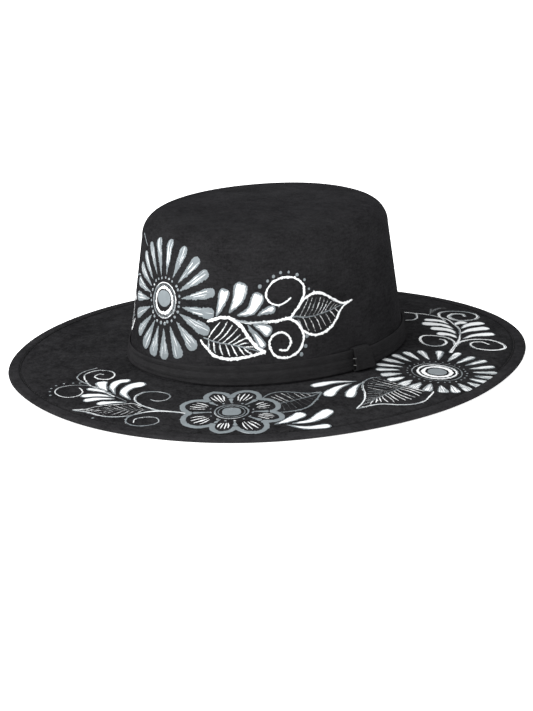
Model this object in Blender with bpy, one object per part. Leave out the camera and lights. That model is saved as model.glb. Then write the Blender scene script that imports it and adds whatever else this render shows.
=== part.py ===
"""Flat-crowned, wide-brimmed dress hat (sombrero), built piece by piece.

Frame: +Z up, the hat stands on its brim edge at z = 0, the origin is the centre of its
footprint, the wearer looks along -Y and the wearer's left is +X.

Every ring-shaped piece is one closed section swept round an oval of flat facets. A section
is a list of (x semi-axis, y semi-axis, height) rows. A place round the oval is counted in
facets from +X towards +Y, and may fall inside a facet, so that short pieces such as the
keeper lie on the same facets as the rings beside them.
"""
import math

import bmesh
import bpy

# Overall shape, in metres
FACETS = 48                  # facets round every oval
GAP = 0.0003                 # clearance between neighbouring pieces
FOOT_X = 0.0876              # crown semi-axis at its foot, across the head
FOOT_Y = 0.1046              # crown semi-axis at its foot, front to back
TOP_X = 0.0778               # crown semi-axis where the wall meets the shoulder, across
TOP_Y = 0.0917               # the same, front to back
WALL_HEIGHT = 0.0845         # height of the straight, tapered crown wall
SHOULDER_RADIUS = 0.0157     # rounded edge between the wall and the crown's top
TOP_RISE = 0.0020            # slight dome of the crown's flat top
BRIM_WIDTH = 0.0830          # crown foot to brim edge, the same all round
BRIM_FALL = 0.0060           # the brim's edge hangs this far below its inner edge
FALL_POWER = 1.25            # how late the brim turns down: 1 is a cone
LEVEL_RIM = 0.0036           # outermost strip of the brim, level so that it stands flat

# Thicknesses
COVER = 0.0006               # brim and hem suede
CROWN_COVER = 0.0008
STIFFENER = 0.0014
BRIM_CORE = 0.0012
LINING = 0.0005
LEATHER = 0.0010
BAND = 0.0012
KEEPER = 0.0008

# Brim edge
HEM_WIDTH = 0.0075           # how far the folded hem reaches in from the edge
HEM_TUCK = 0.0047            # how far the brim covers run in under the hem
CORE_SETBACK = 0.0025        # the core ends this far inside the hem
WIRE_RADIUS = 0.0005
WIRE_SIDES = 6
FERRULE_OUTER = 0.0008
FERRULE_INNER = 0.00065
FERRULE_SIDES = 8
FERRULE_REACH = 0.3          # half the ferrule's length, in facets
WIRE_PLACE = 12.5            # the wire's ends meet here, at the back
WIRE_END = 0.02              # half the gap between the wire's ends, in facets
THREAD_RADIUS = 0.00025
THREAD_SIDES = 4
HEM_THREAD_INSET = 0.0006    # hem thread's middle, inside the hem's inner edge

# Inside
COLLAR_HEIGHT = 0.0080       # the brim core's collar, turned up inside the crown
SEAM_HEIGHT = 0.0040         # crown seam thread above the brim
SWEATBAND_RISE = 0.0280      # sweatband height above the brim
SWEATBAND_SEAM = 0.0025      # its stitching above the brim
SWEATBAND_PLACE = 12.0       # its ends meet at the back
SWEATBAND_END = 0.05         # half the gap between its ends, in facets
JOIN_STITCHES = 8
JOIN_REACH = 0.2             # half the width of the zigzag stitch, in facets

# Hat band and the loop that keeps its ends
BAND_LIFT = 0.0016           # band's lower edge above the brim
BAND_HEIGHT = 0.0134
BAND_END = 0.03              # half the gap between the band's ends, in facets
KEEPER_PLACE = 0.31          # the keeper's middle: on the wearer's left side
KEEPER_REACH = 0.72          # half the keeper's width, in facets
KEEPER_LIP = 0.0040          # height of the keeper's ends, folded in behind the band
SWELL_FLAT = 0.85            # the band is fully stood off this far from the keeper's middle
SWELL_FADE = 1.3             # and comes back to the crown over this many facets
TACK_HEIGHTS = {"keeper_tack_upper": 0.0112, "keeper_tack_lower": 0.0066}
TACK_LENGTH = 0.16           # in facets

# Material name, colour, roughness and metallic value
SUEDE = ("suede", (0.030, 0.028, 0.031), 0.95, 0.0)
BAND_SUEDE = ("band_suede", (0.026, 0.025, 0.028), 0.95, 0.0)
BOARD = ("stiffened_board", (0.30, 0.27, 0.22), 0.90, 0.0)
SATIN = ("lining_satin", (0.020, 0.020, 0.024), 0.35, 0.0)
SWEAT_LEATHER = ("sweatband_leather", (0.045, 0.032, 0.026), 0.60, 0.0)
THREAD = ("black_thread", (0.040, 0.040, 0.045), 0.70, 0.0)
TACK_THREAD = ("pale_thread", (0.62, 0.62, 0.60), 0.70, 0.0)
STEEL = ("wire_steel", (0.42, 0.43, 0.45), 0.40, 1.0)
ALUMINIUM = ("ferrule_aluminium", (0.72, 0.72, 0.73), 0.35, 1.0)

# Heights worked out from those
HEM_STACK = 4 * COVER + 3 * GAP
BRIM_STACK = 2 * COVER + BRIM_CORE + 2 * GAP
EDGE_Z = HEM_STACK / 2                          # middle of the brim at its edge
FOOT_Z = EDGE_Z + BRIM_FALL + BRIM_STACK / 2    # brim's upper face at the crown

# Depths inwards from the crown's outer surface
STIFFENER_OUT = CROWN_COVER + GAP
STIFFENER_IN = STIFFENER_OUT + STIFFENER
COLLAR_OUT = STIFFENER_IN + GAP
COLLAR_IN = COLLAR_OUT + BRIM_CORE
LINING_IN = COLLAR_OUT + LINING
SEAM_DEPTH = COLLAR_IN + GAP + THREAD_RADIUS
SWEAT_OUT = SEAM_DEPTH + THREAD_RADIUS + GAP
SWEAT_IN = SWEAT_OUT + LEATHER

# Heights and stand-off of the hat band
BAND_LOW = BAND_LIFT
BAND_HIGH = BAND_LIFT + BAND_HEIGHT
SWELL = KEEPER + GAP

# Widths outwards from the crown's foot
HEM_LINE = BRIM_WIDTH - HEM_WIDTH
HEM_BEND = BRIM_WIDTH - HEM_STACK / 2
CORE_END = HEM_LINE - CORE_SETBACK


def clear_scene():
    for old in list(bpy.data.objects):
        bpy.data.objects.remove(old, do_unlink=True)


def surface(recipe):
    """The material of that recipe, made the first time it is asked for."""
    name, colour, roughness, metallic = recipe
    made = bpy.data.materials.get(name)
    if made is None:
        made = bpy.data.materials.new(name)
        made.use_nodes = True
    shader = made.node_tree.nodes["Principled BSDF"]
    shader.inputs["Base Color"].default_value = (*colour, 1.0)
    shader.inputs["Roughness"].default_value = roughness
    shader.inputs["Metallic"].default_value = metallic
    made.diffuse_color = (*colour, 1.0)
    return made


def add_solid(name, points, faces, recipe):
    """One closed object from points and faces, with its faces turned outwards."""
    mesh = bpy.data.meshes.new(name)
    mesh.from_pydata(points, [], faces)
    work = bmesh.new()
    work.from_mesh(mesh)
    bmesh.ops.recalc_face_normals(work, faces=work.faces)
    work.to_mesh(mesh)
    work.free()
    mesh.shade_smooth()
    mesh.set_sharp_from_angle(angle=math.radians(40))
    mesh.materials.append(surface(recipe))
    solid = bpy.data.objects.new(name, mesh)
    bpy.context.scene.collection.objects.link(solid)


def oval_point(row, place, swell=0.0):
    """A row's point at that place round the faceted oval, swollen outwards by some metres."""
    x_axis, y_axis, height = row
    facet = math.floor(place)
    share = place - facet
    turns = [2 * math.pi * corner / FACETS for corner in (facet, facet + 1)]
    x = (1 - share) * math.cos(turns[0]) + share * math.cos(turns[1])
    y = (1 - share) * math.sin(turns[0]) + share * math.sin(turns[1])
    return ((x_axis + swell) * x, (y_axis + swell) * y, height)


def ring_solid(name, section, recipe):
    """A section swept all the way round. A row on the axis becomes a single point."""
    points, rows = [], []
    for row in section:
        if row[0] == 0.0:
            rows.append([len(points)] * FACETS)
            points.append((0.0, 0.0, row[2]))
        else:
            rows.append(range(len(points), len(points) + FACETS))
            points += [oval_point(row, place) for place in range(FACETS)]
    faces = []
    for low, high in zip(rows, rows[1:] + rows[:1]):
        for i in range(FACETS):
            j = (i + 1) % FACETS
            corners = tuple(dict.fromkeys((low[i], low[j], high[j], high[i])))
            if len(corners) > 2:
                faces.append(corners)
    add_solid(name, points, faces, recipe)


def strip_solid(name, section, first, last, recipe, swell=None, extra=()):
    """A section swept from one place to another, with its two ends closed."""
    corners = range(math.floor(first) + 1, math.ceil(last))
    places = sorted({first, last, *corners, *extra})
    points = []
    for place in places:
        out = swell(place) if swell else 0.0
        points += [oval_point(row, place, out) for row in section]
    size = len(section)
    faces = [tuple(range(size)), tuple(range(len(points) - size, len(points)))]
    for k in range(len(places) - 1):
        for i in range(size):
            j = (i + 1) % size
            a, b = k * size, (k + 1) * size
            faces.append((a + i, a + j, b + j, b + i))
    add_solid(name, points, faces, recipe)


def thread_solid(name, path, recipe):
    """A short thread along an open path, with closed ends."""
    curve = bpy.data.curves.new(name, "CURVE")
    curve.dimensions = "3D"
    curve.bevel_depth = THREAD_RADIUS
    curve.bevel_resolution = 1
    curve.use_fill_caps = True
    line = curve.splines.new("POLY")
    line.points.add(len(path) - 1)
    for point, spot in zip(line.points, path):
        point.co = (*spot, 1.0)
    curve.materials.append(surface(recipe))
    solid = bpy.data.objects.new(name, curve)
    bpy.context.scene.collection.objects.link(solid)


def round_section(middle, radius, sides):
    """A small round section about a row of the sweep."""
    x_axis, y_axis, height = middle
    rows = []
    for side in range(sides):
        turn = 2 * math.pi * side / sides
        reach = radius * math.cos(turn)
        rows.append((x_axis + reach, y_axis + reach, height + radius * math.sin(turn)))
    return rows


# Crown

def wall(height, depth):
    """A row of the crown wall, at that depth inside its outer surface."""
    share = height / WALL_HEIGHT
    x_axis = FOOT_X + (TOP_X - FOOT_X) * share - depth
    y_axis = FOOT_Y + (TOP_Y - FOOT_Y) * share - depth
    return (x_axis, y_axis, FOOT_Z + height)


def shoulder(turn, depth):
    """A row of the rounded shoulder; turn is 0 at the wall and 90 at the top."""
    radius = SHOULDER_RADIUS - depth
    reach = radius * math.cos(math.radians(turn))
    rise = radius * math.sin(math.radians(turn))
    x_axis = TOP_X - SHOULDER_RADIUS + reach
    y_axis = TOP_Y - SHOULDER_RADIUS + reach
    return (x_axis, y_axis, FOOT_Z + WALL_HEIGHT + rise)


def crown_top(share, depth):
    """A row of the crown's top; share is 0 at its centre and 1 at the shoulder."""
    x_axis, y_axis, height = shoulder(90, depth)
    return (x_axis * share, y_axis * share, height + TOP_RISE * (1 - share ** 2))


def dome_rows(depth):
    """Rows from the crown's centre out to the top of its wall."""
    rows = [crown_top(share, depth) for share in (0.0, 0.6)]
    return rows + [shoulder(turn, depth) for turn in (90, 65, 40, 18, 0)]


def crown_shell(name, outer, inner, recipe):
    """A one-piece crown shell, open below, that stands on the brim."""
    outside = dome_rows(outer) + [wall(GAP, outer)]
    inside = dome_rows(inner) + [wall(GAP, inner)]
    ring_solid(name, outside + inside[::-1], recipe)


def crown_lining():
    """A satin side band and a satin tip that meet at the shoulder."""
    foot = COLLAR_HEIGHT + GAP
    head = WALL_HEIGHT - GAP
    outside = [wall(foot, COLLAR_OUT), wall(head, COLLAR_OUT)]
    inside = [wall(head, LINING_IN), wall(foot, LINING_IN)]
    ring_solid("crown_lining_side", outside + inside, SATIN)
    tip = dome_rows(COLLAR_OUT) + dome_rows(LINING_IN)[::-1]
    ring_solid("crown_lining_tip", tip, SATIN)


# Brim

def brim(offset, lift):
    """A row of the brim, offset from the crown's foot, lift above the brim's middle."""
    share = min(1.0, max(0.0, offset) / (BRIM_WIDTH - LEVEL_RIM))
    height = EDGE_Z + BRIM_FALL * (1 - share ** FALL_POWER) + lift
    return (FOOT_X + offset, FOOT_Y + offset, height)


def brim_sheet(name, inner, side):
    """The suede on one side of the brim: 1 is the upper side and -1 the under side.

    It lies on the core, steps down past the core's end and is tucked in under the hem.
    """
    on_core = BRIM_CORE / 2 + GAP
    in_hem = GAP / 2
    steps = [
        (inner, on_core),
        (CORE_END * 0.35, on_core),
        (CORE_END * 0.7, on_core),
        (CORE_END + 0.0002, on_core),
        (HEM_LINE - 0.0010, in_hem),
        (HEM_LINE + HEM_TUCK, in_hem),
    ]
    near = [brim(offset, side * lift) for offset, lift in steps]
    far = [brim(offset, side * (lift + COVER)) for offset, lift in steps]
    ring_solid(name, near + far[::-1], SUEDE)


def brim_core():
    """The stiff core, whose inner edge turns up as a collar inside the crown."""
    half = BRIM_CORE / 2
    stops = (CORE_END * 0.35, CORE_END * 0.7, CORE_END)
    under = [brim(offset, -half) for offset in (-COLLAR_IN, *stops)]
    over = [brim(offset, half) for offset in (-COLLAR_OUT, *stops)]
    collar = [wall(COLLAR_HEIGHT, COLLAR_OUT), wall(COLLAR_HEIGHT, COLLAR_IN)]
    ring_solid("brim_core", under + over[::-1] + collar, BOARD)


def brim_hem():
    """The strip of suede folded round the brim's edge; its lowest face is level."""
    outer, inner = HEM_STACK / 2, HEM_STACK / 2 - COVER
    bend = brim(HEM_BEND, 0.0)

    def fold(radius, turns):
        rows = []
        for turn in turns:
            reach = radius * math.cos(math.radians(turn))
            rise = radius * math.sin(math.radians(turn))
            rows.append((bend[0] + reach, bend[1] + reach, bend[2] + rise))
        return rows

    level = BRIM_WIDTH - LEVEL_RIM
    outside = [brim(HEM_LINE, -outer), brim(level, -outer)]
    outside += fold(outer, (-90, -45, 0, 45, 90))
    outside += [brim(level, outer), brim(HEM_LINE, outer)]
    inside = [brim(HEM_LINE, inner), brim(level, inner)]
    inside += fold(inner, (90, 45, 0, -45, -90))
    inside += [brim(level, -inner), brim(HEM_LINE, -inner)]
    ring_solid("brim_hem", outside + inside, SUEDE)


def brim_wire():
    """The shaping wire in the hem's fold, and the crimped ferrule that joins its ends."""
    middle = brim(HEM_BEND, 0.0)
    first = WIRE_PLACE + WIRE_END
    last = WIRE_PLACE + FACETS - WIRE_END
    section = round_section(middle, WIRE_RADIUS, WIRE_SIDES)
    strip_solid("brim_wire", section, first, last, STEEL)
    sleeve_tube(middle)


def sleeve_tube(middle):
    """The ferrule: a short tube round both ends of the wire."""
    near, far = WIRE_PLACE - FERRULE_REACH, WIRE_PLACE + FERRULE_REACH
    outer = round_section(middle, FERRULE_OUTER, FERRULE_SIDES)
    inner = round_section(middle, FERRULE_INNER, FERRULE_SIDES)
    points = []
    for rows, place in ((outer, near), (outer, far), (inner, far), (inner, near)):
        points += [oval_point(row, place) for row in rows]
    faces = []
    for ring in range(4):
        a, b = ring * FERRULE_SIDES, (ring + 1) % 4 * FERRULE_SIDES
        for i in range(FERRULE_SIDES):
            j = (i + 1) % FERRULE_SIDES
            faces.append((a + i, a + j, b + j, b + i))
    add_solid("wire_ferrule", points, faces, ALUMINIUM)


def thread_ring(name, middle, recipe):
    """One continuous seam thread round the hat."""
    ring_solid(name, round_section(middle, THREAD_RADIUS, THREAD_SIDES), recipe)


def seam_threads():
    """The hem's needle and bobbin threads, the crown's seam and the sweatband's seam."""
    beside_hem = GAP / 2 + COVER + GAP + THREAD_RADIUS
    offset = HEM_LINE - HEM_THREAD_INSET
    thread_ring("hem_thread_upper", brim(offset, beside_hem), THREAD)
    thread_ring("hem_thread_under", brim(offset, -beside_hem), THREAD)
    thread_ring("crown_seam_thread", wall(SEAM_HEIGHT, SEAM_DEPTH), THREAD)
    inside = SWEAT_IN + GAP + THREAD_RADIUS
    thread_ring("sweatband_thread", wall(SWEATBAND_SEAM, inside), THREAD)


# Sweatband

def sweatband():
    """The leather strip inside the crown's foot, with its ends butted at the back."""
    low, high = -BRIM_STACK, SWEATBAND_RISE
    outside = [wall(low, SWEAT_OUT), wall(high, SWEAT_OUT)]
    inside = [wall(high, SWEAT_IN), wall(low, SWEAT_IN)]
    first = SWEATBAND_PLACE + SWEATBAND_END
    last = SWEATBAND_PLACE + FACETS - SWEATBAND_END
    strip_solid("sweatband", outside + inside, first, last, SWEAT_LEATHER)


def sweatband_join():
    """One zigzag thread that draws the sweatband's two ends together."""
    depth = SWEAT_IN + GAP + 2 * THREAD_RADIUS
    low = SWEATBAND_SEAM + 0.0020
    high = SWEATBAND_RISE - 0.0020
    path = []
    for k in range(JOIN_STITCHES + 1):
        side = JOIN_REACH if k % 2 else -JOIN_REACH
        height = low + (high - low) * k / JOIN_STITCHES
        path.append(oval_point(wall(height, depth), SWEATBAND_PLACE + side))
    thread_solid("sweatband_join_thread", path, THREAD)


# Hat band

def band_swell(place):
    """How far the band stands off the crown, to clear the keeper's folded ends."""
    away = (place - KEEPER_PLACE + FACETS / 2) % FACETS - FACETS / 2
    share = min(1.0, max(0.0, (abs(away) - SWELL_FLAT) / SWELL_FADE))
    return SWELL * 0.5 * (1 + math.cos(math.pi * share))


def hat_band():
    """The suede strip round the crown's foot; its ends meet under the keeper."""
    inside = [wall(BAND_HIGH, -GAP), wall(BAND_LOW, -GAP)]
    outside = [wall(BAND_LOW, -GAP - BAND), wall(BAND_HIGH, -GAP - BAND)]
    first = KEEPER_PLACE + BAND_END
    last = KEEPER_PLACE + FACETS - BAND_END
    start = KEEPER_PLACE + SWELL_FLAT
    finish = KEEPER_PLACE + FACETS - SWELL_FLAT
    extra = [start, start + SWELL_FADE / 2, start + SWELL_FADE]
    extra += [finish, finish - SWELL_FADE / 2, finish - SWELL_FADE]
    section = inside + outside
    strip_solid("hat_band", section, first, last, BAND_SUEDE, band_swell, extra)


def band_keeper():
    """The loop over the band's ends: a plate whose ends fold in behind the band."""
    back = -GAP
    lip = back - KEEPER
    plate_in = lip - GAP - BAND - GAP
    plate_out = plate_in - KEEPER
    low, high = BAND_LOW - GAP, BAND_HIGH + GAP
    section = [
        wall(low - KEEPER, plate_out),
        wall(high + KEEPER, plate_out),
        wall(high + KEEPER, back),
        wall(high - KEEPER_LIP, back),
        wall(high - KEEPER_LIP, lip),
        wall(high, lip),
        wall(high, plate_in),
        wall(low, plate_in),
        wall(low, lip),
        wall(low + KEEPER_LIP, lip),
        wall(low + KEEPER_LIP, back),
        wall(low - KEEPER, back),
    ]
    first, last = KEEPER_PLACE - KEEPER_REACH, KEEPER_PLACE + KEEPER_REACH
    strip_solid("band_keeper", section, first, last, BAND_SUEDE)


def keeper_tacks():
    """Two short stitches that hold the keeper's front edge down to the band."""
    on_band = -(GAP + SWELL + BAND + GAP + THREAD_RADIUS)
    on_keeper = on_band - GAP - KEEPER
    edge = KEEPER_PLACE - KEEPER_REACH
    for name, height in TACK_HEIGHTS.items():
        path = [
            oval_point(wall(height, on_band), edge - TACK_LENGTH),
            oval_point(wall(height, on_band - 0.0001), edge - TACK_LENGTH / 2),
            oval_point(wall(height, on_keeper), edge - TACK_LENGTH / 4),
            oval_point(wall(height, on_keeper), edge + TACK_LENGTH / 3),
        ]
        thread_solid(name, path, TACK_THREAD)


def main():
    clear_scene()
    crown_shell("crown_cover", 0.0, CROWN_COVER, SUEDE)
    crown_shell("crown_stiffener", STIFFENER_OUT, STIFFENER_IN, BOARD)
    crown_lining()
    brim_sheet("brim_cover_top", -STIFFENER_IN, 1)
    brim_sheet("brim_cover_under", -COLLAR_IN, -1)
    brim_core()
    brim_hem()
    brim_wire()
    seam_threads()
    sweatband()
    sweatband_join()
    hat_band()
    band_keeper()
    keeper_tacks()


main()
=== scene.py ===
"""Looks of the sombrero: suede, band, lining, stitches and painted flowers on the CAD."""

import math

import bmesh
import bpy
import numpy as np
from mathutils import Matrix, Vector


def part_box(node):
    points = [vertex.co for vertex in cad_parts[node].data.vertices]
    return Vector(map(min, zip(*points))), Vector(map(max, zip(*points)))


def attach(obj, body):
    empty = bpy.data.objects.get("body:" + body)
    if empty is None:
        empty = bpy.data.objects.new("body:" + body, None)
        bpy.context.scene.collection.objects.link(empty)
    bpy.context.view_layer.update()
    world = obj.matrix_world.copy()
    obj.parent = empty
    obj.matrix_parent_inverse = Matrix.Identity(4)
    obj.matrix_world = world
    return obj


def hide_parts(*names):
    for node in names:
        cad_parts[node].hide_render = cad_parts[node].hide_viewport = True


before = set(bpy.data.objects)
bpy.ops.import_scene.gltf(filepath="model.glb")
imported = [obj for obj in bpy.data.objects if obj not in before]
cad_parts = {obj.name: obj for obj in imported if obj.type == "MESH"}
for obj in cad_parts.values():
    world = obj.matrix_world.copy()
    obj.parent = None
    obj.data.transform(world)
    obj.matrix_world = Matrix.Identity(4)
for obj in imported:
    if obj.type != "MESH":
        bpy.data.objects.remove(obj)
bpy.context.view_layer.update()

MM = 0.001
TURN = 2 * math.pi

# Thicknesses and small steps of the build, in metres
GAP = 0.0003
COVER = 0.0006
CROWN_COVER = 0.0008
BRIM_CORE = 0.0012
LINING = 0.0005
LEATHER = 0.0010
LINING_DEPTH = 0.0028        # outer face of the lining, inside the crown's outer face
SWEAT_DEPTH = 0.0051         # outer face of the sweatband, the same way
SHOULDER_RADIUS = 0.0157
LEVEL_RIM = 0.0036
FALL_POWER = 1.25
HEM_WIDTH = 0.0075
HEM_TUCK = 0.0047
CORE_SETBACK = 0.0025
HEM_STACK = 4 * COVER + 3 * GAP

# Main measures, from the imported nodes
crown_low, crown_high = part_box("crown_cover")
tip_low, tip_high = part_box("crown_lining_tip")
_, hem_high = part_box("brim_hem")
FOOT = np.array([crown_high.x, crown_high.y])
FOOT_Z = crown_low.z - GAP
TOP = np.array([tip_high.x, tip_high.y]) + LINING_DEPTH
WALL_HEIGHT = tip_low.z - FOOT_Z
TOP_RISE = crown_high.z - FOOT_Z - WALL_HEIGHT - SHOULDER_RADIUS
BRIM_WIDTH = hem_high.x - FOOT[0]
EDGE_Z = HEM_STACK / 2
BRIM_FALL = FOOT_Z - BRIM_CORE / 2 - GAP - COVER - EDGE_Z
HEM_LINE = BRIM_WIDTH - HEM_WIDTH
HEM_BEND = BRIM_WIDTH - HEM_STACK / 2
CORE_END = HEM_LINE - CORE_SETBACK
SHOULDER_ARC = SHOULDER_RADIUS * math.pi / 2
TOP_SPAN = float(TOP[0]) - SHOULDER_RADIUS
PROFILE_END = WALL_HEIGHT + SHOULDER_ARC + TOP_SPAN    # the crown's middle, up its profile

# The band, its keeper and the sweatband, in metres up from the crown's foot
BAND_LOW = 0.0012
BAND_HIGH = 0.0153
BAND_THICK = 0.0012
KEEPER_THICK = 0.0009
KEEPER_TURN = math.radians(0.5)
KEEPER_REACH = math.radians(4.5)
LINING_LOW = 0.0083
SWEAT_LOW = -0.0030
SWEAT_HIGH = 0.0280
SWEAT_SEAM = 0.0025
SWEAT_ROLL = 0.0005

# Stitches
STITCH_PITCH = 0.0035
SAMPLES_PER_STITCH = 4
STITCH_RADIUS = 0.00024
TACK_RADIUS = 0.00030
SWEAT_STITCHES = 175
ZIGZAG_STITCHES = 8

# Places where the worn brim has risen or sunk: angle, width of the hump, height
BRIM_HUMPS = ((0.95, 0.55, 0.0015), (2.85, 0.50, 0.0018), (0.10, 0.45, -0.0011),
              (-1.80, 0.35, 0.0009), (-2.36, 0.30, -0.0014))
FLOOR_Z = -0.0014            # just under the lowest point of the worn brim

# Points round a ring, for pieces that need a smooth outline
DOME_POINTS = 288
BRIM_POINTS = 384
LINING_POINTS = 432

# Films of paint, in millimetres: each lies a little above the one before
FIRST_FILM = 0.02
FILM_STEP = 0.0003
FILM_THICK = 0.09


# ---------------------------------------------------------------- helpers

def ring_turns(count):
    return np.arange(count) * TURN / count


def angle_from(theta, middle):
    """Signed angle from a middle, within half a turn."""
    return (theta - middle + math.pi) % TURN - math.pi


def run_lengths(line):
    """Length along a line of points, from its first to each of them."""
    return np.concatenate([[0], np.cumsum(np.linalg.norm(np.diff(line, axis=0), axis=1))])


def grid_faces(index):
    """The four-cornered faces of a grid of point numbers."""
    quads = np.stack([index[:-1, :-1], index[:-1, 1:], index[1:, 1:], index[1:, :-1]], -1)
    return quads.reshape(-1, 4).tolist()


# ---------------------------------------------------------------- surfaces

def crown_rows(v):
    """Semi-axes and height of the crown's outer face, v metres up its profile from the foot."""
    v = np.asarray(v, float)
    share = np.clip(v / WALL_HEIGHT, -0.2, 1.0)
    turn = np.clip((v - WALL_HEIGHT) / SHOULDER_RADIUS, 0.0, math.pi / 2)
    inward = np.clip((v - WALL_HEIGHT - SHOULDER_ARC) / TOP_SPAN, 0.0, 1.0)
    wall = FOOT[:, None] + (TOP - FOOT)[:, None] * share.ravel()
    pull = SHOULDER_RADIUS * (1 - np.cos(turn)).ravel()
    semi = (wall - pull) * (1 - inward.ravel())
    height = FOOT_Z + WALL_HEIGHT * share + SHOULDER_RADIUS * np.sin(turn)
    height = height + TOP_RISE * (1 - (1 - inward) ** 2)
    return semi[0].reshape(v.shape), semi[1].reshape(v.shape), height


def soft_rows(v):
    """The same profile with its corner between shoulder and top eased, as pressed cloth has it."""
    window = 0.0035 * np.clip((PROFILE_END - v) / 0.006, 0, 1)
    near = np.exp(-((v - WALL_HEIGHT - SHOULDER_ARC) / 0.008) ** 2)
    rows = [crown_rows(v + window * near * step) for step in (-1, -0.5, 0, 0.5, 1)]
    return [sum(row[k] for row in rows) / len(rows) for k in range(3)]


def crown_wave(theta, v):
    """Slight unevenness of the blocked crown, in metres."""
    rise = np.clip(v / WALL_HEIGHT, 0, 1.4)
    x_axis, y_axis, _ = crown_rows(v)
    x, y = x_axis * np.cos(theta), y_axis * np.sin(theta)
    fade = np.clip((v - WALL_HEIGHT) / SHOULDER_ARC, 0, 1)
    side = 0.00016 * np.sin(2 * theta + 0.7) * rise + 0.00009 * np.sin(5 * theta + 3 * rise)
    top = 0.00014 * np.sin(62 * x + 0.8) * np.cos(47 * y - 0.5)
    return side * (1 - fade) + top * fade


def crown_raw(theta, v):
    x_axis, y_axis, z = soft_rows(v)
    return np.stack([x_axis * np.cos(theta), y_axis * np.sin(theta), z], -1)


def crown_at(theta, v, lift=0.0):
    """Points on the crown, lift metres outside its face. A negative lift is inside."""
    theta, v = np.broadcast_arrays(np.asarray(theta, float), np.asarray(v, float))
    step = 1e-4
    around = crown_raw(theta + step, v) - crown_raw(theta - step, v)
    flat = np.linalg.norm(around, axis=-1, keepdims=True) < 1e-9
    sideways = np.stack([-np.sin(theta), np.cos(theta), 0 * theta], -1)
    around = np.where(flat, sideways, around)
    v_low = np.minimum(v - step, PROFILE_END - 3 * step)
    up = crown_raw(theta, v_low + 2 * step) - crown_raw(theta, v_low)
    out = np.cross(around, up)
    out /= np.linalg.norm(out, axis=-1, keepdims=True)
    reach = np.asarray(lift, float) + crown_wave(theta, v)
    return crown_raw(theta, v) + out * reach[..., None]


def brim_wave(theta, w):
    """Slight unevenness of the brim, in metres. It fades out at the foot and at the edge."""
    share = np.clip(w / BRIM_WIDTH, 0, 1)
    hump = 16 * share ** 2 * (1 - share) ** 2
    return hump * (0.0004 * np.sin(2 * theta + 2.2) + 0.0002 * np.sin(5 * theta + 0.4))


def brim_spring(theta, w):
    """How far the worn brim has sprung outwards and upwards from its blocked shape, in metres."""
    share = np.clip(w / BRIM_WIDTH, 0, 1.1) ** 1.5
    outward = 0.0021 * np.sin(2 * theta) ** 2 + 0.0007 * np.sin(theta + math.pi / 4)
    upward = 0.00114 * np.sin(2 * theta) + 0.00045 * np.cos(2 * theta)
    for middle, width, height in BRIM_HUMPS:
        upward = upward + height * np.exp(-(angle_from(theta, middle) / width) ** 2)
    return share * outward * np.sin(2 * theta) ** 2, share * upward


def brim_at(theta, w, lift):
    """Points of the brim, w metres out from the crown's foot and lift above its middle."""
    theta, w = np.broadcast_arrays(np.asarray(theta, float), np.asarray(w, float))
    share = np.clip(w / (BRIM_WIDTH - LEVEL_RIM), 0, 1)
    outward, upward = brim_spring(theta, w)
    z = EDGE_Z + BRIM_FALL * (1 - share ** FALL_POWER) + lift + brim_wave(theta, w) + upward
    reach = w + outward
    return np.stack([(FOOT[0] + reach) * np.cos(theta), (FOOT[1] + reach) * np.sin(theta), z], -1)


def foot_turn(along):
    """Angle round the crown's foot, that many metres from its front towards +X."""
    turns = np.linspace(-1.5 * math.pi, 0.5 * math.pi, 2881)
    steps = np.hypot(FOOT[0] * np.diff(np.cos(turns)), FOOT[1] * np.diff(np.sin(turns)))
    lengths = np.concatenate([[0], np.cumsum(steps)])
    return np.interp(along, lengths - lengths[1440], turns)


def brim_place(x, y):
    """Angle and width out from the crown's foot of plan points, in metres."""
    w = np.full(np.shape(x), 0.04)
    for _ in range(60):
        share = np.hypot(x / (FOOT[0] + w), y / (FOOT[1] + w))
        w = w + (share - 1) * np.hypot(x, y) / np.maximum(share, 1e-6) * 0.95
    return np.arctan2(y / (FOOT[1] + w), x / (FOOT[0] + w)), w


def sprung_copy(name, node, material):
    """A copy of an inner part of the brim that has sprung with it."""
    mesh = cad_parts[node].data.copy()
    mesh.materials.clear()
    spots = np.array([tuple(v.co) for v in mesh.vertices])
    theta, w = brim_place(spots[:, 0], spots[:, 1])
    outward, upward = brim_spring(theta, np.maximum(w, 0.0))
    around = np.stack([np.cos(theta), np.sin(theta)], -1)
    spots[:, :2] += around * outward[:, None]
    spots[:, 2] += upward + brim_wave(theta, w)
    mesh.vertices.foreach_set("co", spots.ravel())
    return make_piece(name, mesh, material, [node], 35)


# ---------------------------------------------------------------- meshes

def make_piece(name, mesh, material, replaces=(), sharp=50):
    """Closes, orients and links one piece, which rides on the root body."""
    work = bmesh.new()
    work.from_mesh(mesh)
    bmesh.ops.remove_doubles(work, verts=work.verts, dist=2e-7)
    bmesh.ops.recalc_face_normals(work, faces=work.faces)
    work.to_mesh(mesh)
    work.free()
    mesh.shade_smooth()
    mesh.set_sharp_from_angle(angle=math.radians(sharp))
    mesh.materials.append(material)
    piece = bpy.data.objects.new(name, mesh)
    bpy.context.scene.collection.objects.link(piece)
    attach(piece, "root")
    if replaces:
        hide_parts(*replaces)
    return piece


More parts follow.
